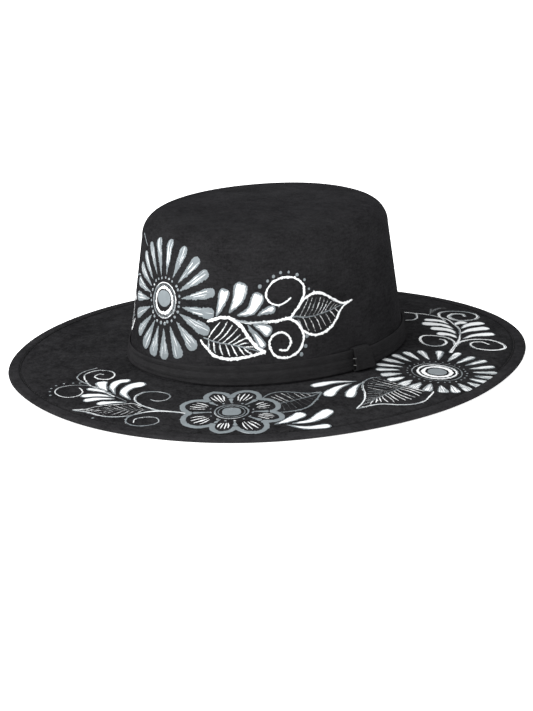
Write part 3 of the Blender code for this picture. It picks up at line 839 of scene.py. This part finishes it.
class Canvas:
    """Gathers brush strokes, laid out in millimetres on a surface, into one painted piece."""

    def __init__(self, place, seed):
        self.place = place
        self.random = np.random.default_rng(seed)
        self.points, self.faces, self.uv, self.coat = [], [], [], []
        self.level = FIRST_FILM

    def add(self, flat, lift, faces, uv, tone, cover, inside):
        """Adds one closed film: tone, cover and inside are one number, or one for each point."""
        start = len(self.points)
        spots = self.place(np.asarray(flat, float), np.asarray(lift, float) + self.level)
        self.level += FILM_STEP
        self.points += spots.tolist()
        self.uv += np.asarray(uv, float).tolist()
        columns = [np.broadcast_to(np.asarray(v, float), (len(spots),)).tolist()
                   for v in (tone, cover, inside)]
        self.coat += list(zip(*columns))
        self.faces += [tuple(start + i for i in face) for face in faces]

    def ribbon(self, line, half, tone, cover, closed=False, rim=0.0, rag=0.22, over=0.0):
        """A thin domed film along a line, with ragged sides. Half is half its width."""
        count = len(line)
        if closed:
            ahead = np.roll(line, -1, 0) - np.roll(line, 1, 0)
        else:
            ahead = np.gradient(line, axis=0)
        ahead /= np.maximum(np.linalg.norm(ahead, axis=1, keepdims=True), 1e-9)
        side = np.stack([-ahead[:, 1], ahead[:, 0]], -1)
        cols = 5 if half.max() < 1.6 else 11
        u = np.linspace(-1, 1, cols)
        reach = half[:, None] * u
        bristle = self.random.normal(0, 0.5, (count, 2)) + 1.3 * (self.random.random((count,
                                                                                      2)) < 0.12)
        push = rag * bristle * np.clip(half / 0.7, 0.25, 1)[:, None]
        reach[:, 0] -= push[:, 0]
        reach[:, -1] += push[:, 1]
        flat = line[:, None] + side[:, None] * reach[..., None]
        dome = (1 - u[None] ** 2) ** 0.5 * np.minimum(1, half / 0.9)[:, None]
        lift = FILM_THICK * dome + over
        length = run_lengths(line)
        shift = self.random.uniform(0, 300, 2)
        uv = np.stack([
            np.broadcast_to(length[:, None], lift.shape) + shift[0],
            reach + shift[1],
        ], -1) * MM
        inside = (1 - np.abs(u))[None] * half[:, None]
        white = np.full(lift.shape, float(tone))
        if rim:
            inner = np.minimum(inside, (length[-1] - length)[:, None] * 0.9)
            white = white * np.clip((inner - 0.25 * rim) / (0.9 * rim), 0, 1)
        index = np.arange(count * cols).reshape(count, cols)
        if closed:
            index = np.vstack([index, index[:1]])
        faces = grid_faces(index)
        faces += [[a[-1], a[0], b[0], b[-1]] for a, b in zip(index[:-1], index[1:])]
        if not closed:
            faces += [index[0].tolist(), index[-1].tolist()]
        self.add(flat.reshape(-1, 2), lift.ravel(), faces, uv.reshape(-1, 2), white.ravel(), cover,
                 inside.ravel())

    def sway(self, count, length, size):
        """Slow unsteadiness of a hand, as one factor or offset per point."""
        knots = max(3, int(length / 5) + 2)
        values = self.random.normal(0, size, knots)
        return np.interp(np.linspace(0, knots - 1, count), np.arange(knots), values)

    def stroke(self, points, width, tone=1.0, cover=1.0, rim=0.0, petal=False, step=0.7, rag=0.36,
               taper=0.8, over=0.0):
        """One brush stroke through a few points. Width is a number or a list along it."""
        line, length = smooth_line(points)
        count = max(9 if petal else 7, int(length / step) + 3)
        share = np.linspace(0, 1, count)
        ends = 0.5 - 0.5 * np.cos(math.pi * share)
        share = 0.6 * share + 0.4 * ends
        spots = np.stack([np.interp(share, line[:, 2], line[:, k]) for k in (0, 1)], -1)
        widths = np.atleast_1d(np.asarray(width, float))
        half = np.interp(share, np.linspace(0, 1, len(widths)), widths) * 0.46
        if petal:
            half = half * 1.09
            shape = share ** taper * np.sqrt(np.clip(1 - share ** 9, 0, 1))
            half = half * (0.05 + shape / 0.82)
            half[-1] = 0.2 * widths[-1]
        else:
            near = np.minimum(share, 1 - share) * length
            radius = np.maximum(half, 0.2)
            round_off = np.sqrt(np.clip(1 - (1 - np.clip(near / radius, 0, 1)) ** 2, 0, 1))
            half = half * np.maximum(round_off, 0.22)
        half = half * (1 + self.sway(count, length, 0.06))
        spots = spots + self.sway(count, length, 0.10)[:, None]
        self.ribbon(spots, half, tone, cover, rim=rim, rag=rag, over=over)

    def ring(self, centre, radii, width, tone, cover=1.0, rag=0.2):
        count = max(24, int(TURN * max(radii) / 1.0))
        turn = ring_turns(count)
        wobble = 1 + 0.012 * np.sin(3 * turn + self.random.uniform(0, 6))
        line = np.array(centre) + np.stack([radii[0] * wobble * np.cos(turn),
                                            radii[1] * wobble * np.sin(turn)], -1)
        half = np.full(count, width / 2) * (1 + 0.14 * np.sin(2 * turn + self.random.uniform(0,
                                                                                             6)))
        self.ribbon(line, half, tone, cover, closed=True, rag=rag)

    def disc(self, centre, radii, tone, cover=1.0, squareness=0.0):
        """A filled spot with a domed face."""
        small = max(radii) < 3
        count = 12 if small else 40
        turn = ring_turns(count)
        steps = np.array([1.0, 0.93, 0.75, 0.4] if small else [1, 0.96, 0.85, 0.65, 0.4, 0.15])
        bulge = 1 + squareness * np.cos(4 * turn) + 0.02 * np.sin(3 * turn + centre[0])
        bulge = bulge * (1 + self.random.normal(0, 0.06 if small else 0.008, count))
        flat, lift, inside = [], [], []
        for size in steps:
            flat.append(np.array(centre) + size * np.stack([radii[0] * bulge * np.cos(turn),
                                                            radii[1] * bulge * np.sin(turn)], -1))
            lift.append(np.full(count, FILM_THICK * math.sqrt(1 - size ** 2)))
            inside.append(np.full(count, (1 - size) * min(radii)))
        index = np.arange(len(steps) * count).reshape(len(steps), count)
        index = np.hstack([index, index[:, :1]])
        faces = grid_faces(index) + [index[0, :-1].tolist(), index[-1, :-1].tolist()]
        flat = np.concatenate(flat)
        self.add(flat, np.concatenate(lift), faces, flat * MM, tone, cover, np.concatenate(inside))

    def dots(self, places, radius, tone=0.3, cover=0.95):
        for place in places:
            size = radius * self.random.uniform(0.8, 1.2)
            spot = np.array(place) + self.random.normal(0, 0.35, 2)
            self.disc(spot, (size, size * self.random.uniform(0.85, 1.15)), tone, cover)

    def piece(self, name):
        mesh = bpy.data.meshes.new(name)
        mesh.from_pydata(self.points, [], self.faces)
        layer = mesh.uv_layers.new(name="UVMap")
        corner = np.zeros(len(mesh.loops), int)
        mesh.loops.foreach_get("vertex_index", corner)
        layer.data.foreach_set("uv", np.array(self.uv)[corner].ravel())
        coat = mesh.attributes.new("paint", "FLOAT_VECTOR", "POINT")
        coat.data.foreach_set("vector", np.array(self.coat, np.float32).ravel())
        return make_piece(name, mesh, ACRYLIC, sharp=80)


def smooth_line(points):
    """A Catmull-Rom line through the points, with its length share as a third column."""
    knots = np.asarray(points, float)
    if len(knots) == 2:
        dense = knots[0] + (knots[1] - knots[0]) * np.linspace(0, 1, 12)[:, None]
    else:
        spread = np.vstack([2 * knots[0] - knots[1], knots, 2 * knots[-1] - knots[-2]])
        t = np.linspace(0, 1, 14, endpoint=False)[:, None]
        dense = []
        for a, b, c, d in zip(spread[:-3], spread[1:-2], spread[2:-1], spread[3:]):
            dense.append(0.5 * (2 * b + (c - a) * t + (2 * a - 5 * b + 4 * c - d) * t ** 2
                                + (3 * b - a - 3 * c + d) * t ** 3))
        dense = np.vstack(dense + [knots[-1:]])
    run = run_lengths(dense)
    return np.column_stack([dense, run / run[-1]]), run[-1]


def along_line(points, shares):
    line, _ = smooth_line(points)
    return np.stack([np.interp(shares, line[:, 2], line[:, k]) for k in (0, 1)], -1)


def polar(centre, stretch, turn, radius):
    return (centre[0] + stretch[0] * radius * math.cos(turn),
            centre[1] + stretch[1] * radius * math.sin(turn))


def daisy(canvas, centre, petals, width, near, reach, tone, rings, eye, dots, taper, rim,
          lifted=0.0):
    """A many-petalled daisy with a ringed eye and a circle of dots.

    Petals are degrees. Rings are radius, width, whiteness and cover; dots are count, radius
    and size.
    """
    for angle in petals:
        turn = math.radians(angle)
        start = near + canvas.random.uniform(-1.5, 1.0)
        far = reach(turn) + canvas.random.uniform(-0.8, 0.8)
        bend = canvas.random.normal(0, 0.02)
        path = [polar(centre, (1, 1), turn + bend * f, start + (far - start) * f)
                for f in (0.0, 0.5, 1.0)]
        wide = width * canvas.random.uniform(0.92, 1.08) * (1 + 0.13 * math.cos(turn + 0.9))
        canvas.stroke(path, wide, tone, rim=rim, petal=True, rag=0.34, taper=taper)
        for lane in (-0.5, -0.05, 0.42):
            lane = lane + canvas.random.uniform(-0.12, 0.12)
            first, last = canvas.random.uniform(0.22, 0.50), canvas.random.uniform(0.74, 0.95)
            line = []
            for share in (first, (first + last) / 2, last):
                x, y = along_line(path, [share])[0]
                aside = lane * wide * 0.5 * (0.15 + share ** taper)
                line.append((x - math.sin(turn) * aside, y + math.cos(turn) * aside))
            canvas.stroke(line, (0.2, canvas.random.uniform(0.4, 0.95), 0.3),
                          canvas.random.uniform(0.32, 0.60), 1.5, over=0.08)
    count, radius, size = dots
    canvas.dots([polar(centre, (1, 1), TURN * (k + 0.3) / count, radius) for k in range(count)],
                size, 0.2)
    for radius, wide, shade, cover in rings:
        canvas.ring(centre, (radius, radius), wide, shade, cover, rag=0.35)
    canvas.disc((centre[0], centre[1] + lifted), (eye, eye - lifted), 0.0)


def lobed_flower(canvas, centre, lobes):
    """An open flower of broad outlined lobes: start in degrees, valley and reach."""
    for k, (start, valley, reach) in enumerate(lobes):
        end, next_valley, _ = lobes[(k + 1) % len(lobes)]
        wide = (end - start) % 360
        edge = []
        for share in (0.0, 0.08, 0.24, 0.5, 0.76, 0.92, 1.0):
            foot = valley + (next_valley - valley) * share - 3.4
            radius = foot + (reach - foot) * math.sin(math.pi * share) ** 0.70 - 1.9
            edge.append(polar(centre, (1, 1), math.radians(start + wide * share), radius))
        canvas.stroke(edge, 3.9, 0.0, step=1.0, rag=0.25)
        spoke = [polar(centre, (1, 1), math.radians(start), r) for r in (13.5, 18, valley - 6)]
        canvas.stroke(spoke, (0.8, 1.8, 4.2), 0.0, rag=0.2)
        middle = math.radians(start + wide / 2)
        for place in (-0.21, -0.07, 0.07, 0.21):
            turn = place * math.radians(wide)
            inner, outer = 17.0 + canvas.random.uniform(0, 2), reach - 6.5 - 10 * abs(place)
            canvas.stroke([polar(centre, (1, 1), middle + 0.80 * turn, inner),
                           polar(centre, (1, 1), middle + 1.05 * turn, (inner + outer) / 2),
                           polar(centre, (1, 1), middle + turn, outer)],
                          (0.5, canvas.random.uniform(0.9, 1.5), 0.6), 1.0,
                          canvas.random.uniform(0.62, 0.92), rag=0.2)
    for radius, width, cover in ((10.9, 1.0, 0.85), (8.7, 0.9, 0.75)):
        canvas.ring(centre, (radius, radius), width, 0.2, cover)
    canvas.disc(centre, (6.4, 6.4), 0.1, squareness=0.05)
    canvas.dots([polar(centre, (1, 1), TURN * (k + 0.5) / 15, 14.2) for k in range(15)], 0.8, 0.3,
                0.8)


def veins(canvas, midrib, edge, count, width, tone=0.7, cover=0.8, reach=0.84, slant=0.16,
          span=(0.04, 0.86)):
    """Evenly spaced veins from a midrib towards one edge of a leaf."""
    for k in range(count):
        share = span[0] + (span[1] - span[0]) * (k + 0.5) / count
        start = along_line(midrib, [share])[0]
        aim = along_line(edge, [min(1.0, share + slant)])[0]
        far = reach * canvas.random.uniform(0.9, 1.05)
        bow = np.array([-(aim - start)[1], (aim - start)[0]]) * canvas.random.uniform(-0.06, 0.06)
        middle = start + 0.5 * far * (aim - start) + bow
        canvas.stroke([start, middle, start + far * (aim - start)],
                      tuple(w * canvas.random.uniform(0.8, 1.25) for w in (0.5, width, 0.6)),
                      tone, cover)


def petals(canvas, strokes, tone=1.0, rim=1.3):
    """Full white petals with a soft grey border: points and width of each."""
    for points, width in strokes:
        canvas.stroke(points, width, tone, rim=rim, petal=True, rag=0.3)


def crown_spray(canvas):
    """Leaf, petals, curls and end leaf beside the crown's daisy. Millimetres round and up."""
    upper = [(37, 42.5), (43, 44.8), (50, 46), (56, 44.5), (62, 39.5), (68, 31.5), (74, 25),
             (79, 22.5)]
    lower = [(33, 30.5), (37.5, 25.5), (43.5, 20.5), (52, 18.5), (60, 18.8), (68, 20.2),
             (79, 22.5)]
    midrib = [(35, 32), (45, 29.5), (58, 27.5), (66, 25.5), (75, 23.3)]
    veins(canvas, midrib, upper, 8, 0.9, cover=0.80, span=(0.04, 0.74))
    veins(canvas, midrib, lower, 7, 1.1, cover=0.88, slant=0.12, span=(0.04, 0.76))
    canvas.stroke(midrib, (0.8, 1.0, 0.7), 0.05, 0.9)
    canvas.stroke([(56, 44.6), (66, 42.6), (81, 42.2)], 1.6, 0.38)
    canvas.stroke(upper, (1.8, 2.0, 2.4, 2.5, 2.0), 1.0)
    canvas.stroke(lower, (1.3, 1.9, 1.9, 1.6), 1.0)
    petals(canvas, [
        ([(44, 46.5), (47, 55), (50, 64.8)], 8.4),
        ([(53, 49), (59, 58), (62, 69)], 10.2),
        ([(59, 47.5), (69, 51), (75, 61.8)], 9.2),
        ([(73, 47), (79, 49.5), (86, 51)], 5.2),
        ([(70, 41), (77, 38.5), (82.5, 34.5)], 7.8),
        ([(66, 41), (72, 33.5), (78, 25.5)], 5.4),
    ], 1.0, 1.9)
    canvas.dots([(75, 66)], 1.4, 0.1)
    canvas.stroke([(80, 42.3), (90, 42.8), (97, 44), (100, 47), (104, 51.5), (108, 58),
                   (107.5, 65), (101, 70), (92, 71), (84, 68), (79.5, 61.5), (81.5, 56), (88, 53),
                   (94, 54.5), (98, 57)], (1.9, 2.0, 1.8, 1.6, 1.4, 1.4, 1.4, 1.3, 1.2), 0.92, 0.9)
    canvas.stroke([(93, 44), (98, 42.5), (103.5, 38), (106.5, 31), (104.5, 23.5), (99, 19),
                   (92, 17.5), (85.5, 19.5), (81.5, 26), (83, 32), (88.5, 34.8), (94, 33),
                   (96.8, 28), (94, 23), (88, 23.2)], (2.1, 1.8, 1.6, 1.6, 1.6, 1.5, 1.4, 1.3),
                   0.92, 0.92)
    canvas.dots([polar((94, 61), (1.36, 1), math.radians(a), 13.2)
                 for a in (140, 121, 101, 80, 58, 33, 2)], 1.15, 0.05)
    canvas.dots([(109, 30), (107.5, 23.3), (104.5, 18.7)], 1.2, 0.05)
    top = [(103, 49), (108, 55), (116, 58), (123, 57), (129.5, 53.5), (136, 49.6), (141.5, 47.6),
           (150.5, 48.2)]
    bottom = [(101, 41), (106, 34.8), (112, 31), (119, 30.2), (127.5, 32.8), (134, 38),
              (139, 44.2), (144.5, 46.8), (150.5, 48.2)]
    spine = [(98, 44.6), (108, 43.2), (117, 43.2), (128, 44.8), (141, 47)]
    veins(canvas, spine, top[:-1], 9, 0.9, cover=0.66, span=(0.10, 0.80))
    veins(canvas, spine, bottom[:-2], 8, 0.85, cover=0.70, slant=0.12)
    canvas.stroke(spine, (1.2, 0.9, 0.8), 0.0, 0.8)
    canvas.stroke(top, (1.2, 1.7, 1.9, 1.8, 1.5, 1.1), 0.85, 0.84)
    canvas.stroke(bottom, (1.6, 1.8, 1.7, 1.8, 1.5, 1.0), 0.9, 0.88)


def crown_place(flat, lift):
    """Crown canvas: millimetres round the foot from the front, and up the wall."""
    return crown_at(foot_turn(flat[:, 0] * MM), flat[:, 1] * MM, lift * MM)


def brim_paint_place(flat, lift):
    """Brim canvas: plan millimetres."""
    theta, reach = brim_place(flat[:, 0] * MM, flat[:, 1] * MM)
    w = reach
    for _ in range(4):
        w = reach - brim_spring(theta, w)[0]
    return brim_at(theta, w, BRIM_CORE / 2 + GAP + COVER + lift * MM)


CROWN_PETALS = (12, -7, -23, -43, -63, -84, -101, -118, -136, -155, -173, 172, 157, 142, 123, 107,
                88, 66, 47, 30)


def paint_crown():
    canvas = Canvas(crown_place, 11)
    daisy(canvas, (-0.5, 52.5), CROWN_PETALS, width=7.2, near=18.0,
          reach=lambda turn: 42.0 + 1.2 * math.sin(turn) + 1.6 * math.cos(2 * turn), tone=0.20,
          rings=((11.8, 0.9, 0.5, 0.8), (10.5, 1.3, 0.05, 0.50), (8.6, 1.5, 1.0, 1.0)), eye=6.8,
          dots=(25, 15.2, 1.05), taper=0.95, rim=1.0, lifted=1.3)
    crown_spray(canvas)
    canvas.place = lambda flat, lift: crown_place(flat * [-1, 1] - [11, 0], lift)
    crown_spray(canvas)
    canvas.stroke([(19, 84), (27, 88.5), (33, 90)], 1.0, 0.2, 0.9)
    canvas.stroke([(29, 62), (44, 58), (60, 53)], 1.1, 0.3, 0.9)
    canvas.piece("painted_flowers_crown")


def brim_front(canvas):
    """Leaf, petals and curls at the front of the brim."""
    lower = [(39, -150), (35, -160), (29, -167.5), (20, -172.5), (8, -174), (-3, -177.5)]
    upper = [(30, -146), (21, -146), (16, -151), (10, -157), (5, -164), (3, -171), (-3, -177.5)]
    midrib = [(38, -147), (28, -154), (17, -163), (6, -171)]
    veins(canvas, midrib, upper, 9, 1.0, 0.7, 0.62, slant=0.1)
    veins(canvas, midrib, lower, 8, 1.0, 0.7, 0.62, slant=0.1)
    canvas.stroke(midrib, (0.9, 0.8, 0.6), 0.3, 0.66)
    canvas.stroke(upper, (0.9, 1.0, 1.0, 1.6), 0.5, 0.72)
    canvas.stroke(lower, (1.0, 1.2, 1.4, 1.8, 1.2), 0.5, 0.8)
    canvas.stroke([(61, -136), (55, -138.5), (44, -144.5), (38, -152), (35.5, -161), (38, -167.5),
                   (44, -170.3), (51, -168.3), (56.5, -162), (56.5, -155.5), (51, -152.5),
                   (45, -155.5), (41.5, -162),
                   (45, -167)], (1.8, 2.3, 1.8, 1.4, 1.1, 1.0, 1.0, 1.0), 0.4, 0.80)
    canvas.stroke([(46, -143.3), (35, -145), (23, -143.5), (14.5, -138.5), (12, -131),
                   (16, -124.5), (25, -121), (32, -123), (34.5, -129), (30.5, -134), (25, -134.5)],
                  (2.0, 1.7, 1.8, 1.7, 1.3, 1.1, 1.0), 0.4, 0.80)
    canvas.stroke([(15, -146), (2, -144.5), (-12, -142.5), (-26, -140.5)], 0.9, 0.0, 0.7)
    petals(canvas, [
        ([(15, -142.5), (2.5, -137.5), (-3, -126.5), (1.5, -117)], 9.2),
        ([(-1, -142), (-12, -134.5), (-16.5, -126), (-12, -118.5)], 7.0),
        ([(-10, -141), (-20, -137), (-27.5, -131.5)], 8.2),
        ([(-3, -142.8), (-14, -143.4), (-25, -146)], 5.0),
        ([(2, -145.5), (-9, -149.5), (-18, -157.5)], 6.8),
        ([(5, -147.5), (-4, -154), (-10, -162.5)], 6.0),
        ([(16, -147), (8, -153), (1.5, -160.5)], 5.4),
    ])
    canvas.stroke([(2, -145), (-15, -142.5), (-29, -140), (-41, -134.5), (-48.5, -126),
                   (-46, -117), (-36, -114), (-28.5, -118.5), (-26, -125), (-31.5, -128.5),
                   (-38.5, -127.5), (-40, -122.5),
                   (-36, -121)], (0.8, 0.9, 1.0, 1.2, 1.2, 1.2, 1.4, 1.4, 1.0), 0.6, 0.80)
    canvas.stroke([(-29, -140.5), (-42, -138), (-49, -134), (-53, -125), (-51, -114)], 1.2, 0.3,
                  0.78)
    canvas.stroke([(-2, -144), (-19, -140.5), (-31, -142.5), (-39.5, -148.5), (-42, -156),
                   (-38.5, -162.5), (-30, -166), (-22.5, -164), (-20, -157.5), (-23.5, -151),
                   (-31, -148)],
                  (0.8, 0.8, 0.9, 1.0, 1.1, 1.1, 1.0), 0.5, 0.76)
    canvas.dots([(-38, -142), (-42, -144.5), (-46, -148.5), (-48, -154), (-46, -160), (-42, -165),
                 (-36, -169.5), (18, -178)], 0.85, 0.2, 0.85)


def brim_side(canvas):
    """Lobed flower, leaves, petals and daisy on the wearer's left of the brim."""
    left = [(82, -88), (79, -79), (81, -70), (88, -64), (96, -58.5), (100.5, -50.5)]
    right = [(105, -95), (109, -89), (112, -81), (111.5, -72), (107, -61.5), (100.5, -50.5)]
    midrib = [(95, -86), (98, -74), (100.5, -62), (100.8, -52)]
    veins(canvas, midrib, left, 8, 0.8, 0.6, 0.7, slant=0.02, span=(0.02, 0.8))
    veins(canvas, midrib, right, 8, 0.7, 0.2, 0.55, slant=0.02, span=(0.02, 0.8))
    canvas.stroke(midrib, (0.8, 1.0, 1.0), 0.1, 0.75)
    canvas.stroke(left, (1.0, 1.2, 1.1, 1.3), 0.2, 0.8)
    canvas.stroke(right, (1.0, 1.3, 1.5, 1.3), 0.2, 0.8)
    lobed_flower(canvas, (82, -115), (
        (-184, 28, 36.5), (-135, 31, 36), (-77, 26, 33.5), (-38, 28, 38), (9, 30, 36),
        (44, 30, 34), (95, 31, 38), (137, 28, 37)))
    petals(canvas, [
        ([(116, -110), (118, -98), (117, -84)], 8.2),
        ([(123, -101), (128.5, -88), (125.5, -67.5)], 9.2),
        ([(122, -105), (134, -98.5), (142.5, -85)], 6.6),
        ([(103, -19), (93.5, -32), (88.5, -48)], 7.2),
        ([(103, -24), (103, -40), (108.5, -53.5)], 8.2),
        ([(107, -18), (111, -31), (119.5, -44)], 7.4),
    ])
    inner = [(108, -1), (105.5, -8), (106, -14), (111.5, -22.5), (121, -30.5), (129, -39.5),
             (135.5, -54)]
    outer = [(148, 7), (151.5, 0), (155, -10), (154.5, -19), (149, -28), (140, -37.5),
             (135.5, -54)]
    spine = [(130, 0), (131, -13), (132, -27), (134, -41)]
    veins(canvas, spine, outer, 12, 1.0, 0.9, 0.84, reach=0.72, slant=0.02, span=(0.0, 0.88))
    veins(canvas, spine, inner, 14, 0.8, 0.45, 0.72, reach=0.9, slant=0.04, span=(0.0, 0.9))
    canvas.stroke(spine, (1.0, 1.0, 0.8), 0.15, 0.8)
    canvas.stroke(inner, (0.9, 1.1, 1.5, 1.4, 1.2), 0.45, 0.88)
    canvas.stroke(outer, (1.1, 1.3, 1.6, 1.8, 1.5), 0.45, 0.9)

    def reach(turn):
        return 41.5 + 4 * math.sin(turn - 0.7) - 3 * math.exp(-((turn - 0.35) / 0.45) ** 2)

    daisy(canvas, (126, 36), [66 - k * 360 / 23 for k in range(23)], width=6.3, near=24.5,
          reach=reach, tone=0.55,
          rings=((17.0, 0.8, 0.15, 0.74), (13.3, 1.8, 0.62, 0.88), (9.5, 2.5, 1.0, 1.0)),
          eye=6.5, dots=(28, 20.2, 0.7), taper=0.72, rim=0.7)


def brim_back(canvas):
    """The spray behind the brim's daisy."""
    canvas.stroke([(105, 74), (96, 90), (86, 106), (71, 123), (57, 132), (47, 137), (30, 136),
                   (22, 131.5), (14, 127)], (2.8, 2.2, 1.8, 1.5, 1.5, 1.5, 1.5, 1.8), 0.55, 0.90)
    canvas.stroke([(96, 90), (92.5, 100), (95, 111), (103, 118.5), (113, 118.5), (121, 114),
                   (123, 107), (118, 99.5), (110, 96), (102, 99), (99, 105.5), (103, 110.5),
                   (110, 110)],
                  (2.0, 1.9, 1.9, 1.9, 2.1, 1.9, 1.8, 1.5, 1.3), 0.58, 0.93)
    canvas.stroke([(96, 90), (87, 97.5), (78, 99), (70, 95), (66.5, 88.5), (70, 81.5), (79, 75.5),
                   (87, 76), (90, 82), (88, 89.5), (82, 93.5), (79, 92)],
                  (2.0, 1.9, 1.8, 1.8, 1.8, 1.9, 1.8, 1.5), 0.58, 0.93)
    canvas.stroke([(50, 132), (36, 141), (31, 150), (35, 160), (44, 165), (54, 163), (60, 154.5),
                   (59, 145.5), (53, 140.5), (44, 143), (40, 152), (45, 157), (51, 153)],
                  (1.8, 2.0, 2.0, 2.0, 2.0, 2.4, 3.0, 3.4, 2.6), 0.42, 0.88)
    canvas.stroke([(22, 131), (30, 124), (33.5, 116), (31, 110)], (1.6, 1.8, 1.5), 0.4, 0.8)
    petals(canvas, [
        ([(89, 106), (88.5, 119), (95.5, 133)], 8.2),
        ([(79, 114), (78, 128), (82.5, 142)], 9.0),
        ([(71, 125), (68, 138), (71.5, 150)], 8.4),
        ([(62, 128), (60, 135), (61, 142)], 7.0),
        ([(85, 104), (77, 106.5), (68, 102)], 8.0),
        ([(78, 112), (67, 115), (56, 108.5)], 9.0),
        ([(68, 120), (56, 122), (44, 113)], 9.2),
        ([(58, 127), (47, 129), (38, 122)], 7.2),
    ], 0.85, 0.8)
    for k in range(4):
        canvas.stroke([(30 - 2 * k, 138 + 5 * k), (24 - k, 146 + 4 * k),
                       (19 + 2 * k, 152 + 3.5 * k)],
                      (0.8, 2.2, 1.4), 0.0, 0.40)


def paint_brim():
    canvas = Canvas(brim_paint_place, 23)
    brim_front(canvas)
    brim_side(canvas)
    brim_back(canvas)
    canvas.piece("painted_flowers_brim")


# ---------------------------------------------------------------- build

crown_cover()
brim_cover("brim_cover_top_suede", "brim_cover_top", -0.0025, 1)
brim_cover("brim_cover_under_suede", "brim_cover_under", -0.0040, -1)
brim_hem()
hem_stitches()
hat_band()
band_keeper()
keeper_tacks()
lining()
sweatband()
paint_crown()
paint_brim()

sprung_copy("brim_core_sprung", "brim_core", BOARD)
sprung_copy("brim_wire_sprung", "brim_wire", STEEL)
sprung_copy("wire_ferrule_sprung", "wire_ferrule", ALUMINIUM)

for node, material in {
    "crown_stiffener": BOARD,
    "crown_seam_thread": BLACK_THREAD,
}.items():
    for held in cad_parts[node].material_slots:
        held.material = material


# ---------------------------------------------------------------- floor, light, camera

def floor():
    """A plain pale floor under the brim's lowest points, wide enough to fill every view."""
    mesh = bpy.data.meshes.new("studio_floor")
    turn = ring_turns(96)
    reach = 9.0
    points = [(reach * math.cos(t), reach * math.sin(t), FLOOR_Z) for t in turn]
    mesh.from_pydata(points, [], [tuple(range(len(points)))])
    s = Shader("pale_floor")
    tone = s.blend(s.noise(3, 2), (0.90, 0.90, 0.90), (0.94, 0.94, 0.94))
    mesh.materials.append(s.finish(tone, 0.9, None, Specular_IOR_Level=0.0, Emission_Strength=0.85,
                                   Emission_Color=(1.0, 1.0, 1.0, 1.0)))
    made = bpy.data.objects.new("studio_floor", mesh)
    bpy.context.scene.collection.objects.link(made)


def lamp(name, spot, aim, size, power):
    data = bpy.data.lights.new(name, "AREA")
    data.shape = "DISK"
    data.size = size
    data.energy = power
    made = bpy.data.objects.new(name, data)
    made.location = spot
    made.rotation_mode = "QUATERNION"
    made.rotation_quaternion = (Vector(aim) - Vector(spot)).to_track_quat("-Z", "Y")
    bpy.context.scene.collection.objects.link(made)


def studio():
    world = bpy.data.worlds.new("studio_world")
    world.use_nodes = True
    back = world.node_tree.nodes["Background"]
    back.inputs["Color"].default_value = (1.0, 1.0, 1.0, 1.0)
    back.inputs["Strength"].default_value = 0.90
    bpy.context.scene.world = world
    lamp("key", (0.1, -1.85, 1.40), (0, 0, 0.05), 2.2, 72)
    bpy.context.scene.view_settings.view_transform = "Standard"


def camera():
    """The viewing angle: 45.5 degrees to the wearer's left, 17.1 above."""
    turn, tilt, roll = math.radians(45.49), math.radians(17.12), math.radians(-1.10)
    distance, lens = 1.6105, 115.93
    aside, above = -0.00112, -0.00792
    back = Vector((math.sin(turn) * math.cos(tilt), -math.cos(turn) * math.cos(tilt),
                   math.sin(tilt)))
    flat = Vector((math.cos(turn), math.sin(turn), 0.0))
    over = back.cross(flat)
    right = math.cos(roll) * flat + math.sin(roll) * over
    up = -math.sin(roll) * flat + math.cos(roll) * over
    spot = right * aside + up * above + back * distance + Vector((0, 0, FOOT_Z))
    data = bpy.data.cameras.new("camera")
    data.sensor_width = 36.0
    data.lens = lens
    made = bpy.data.objects.new("camera", data)
    axes = Matrix((right, up, back)).transposed().to_4x4()
    made.matrix_world = Matrix.Translation(spot) @ axes
    bpy.context.scene.collection.objects.link(made)
    bpy.context.scene.camera = made


floor()
studio()
camera()
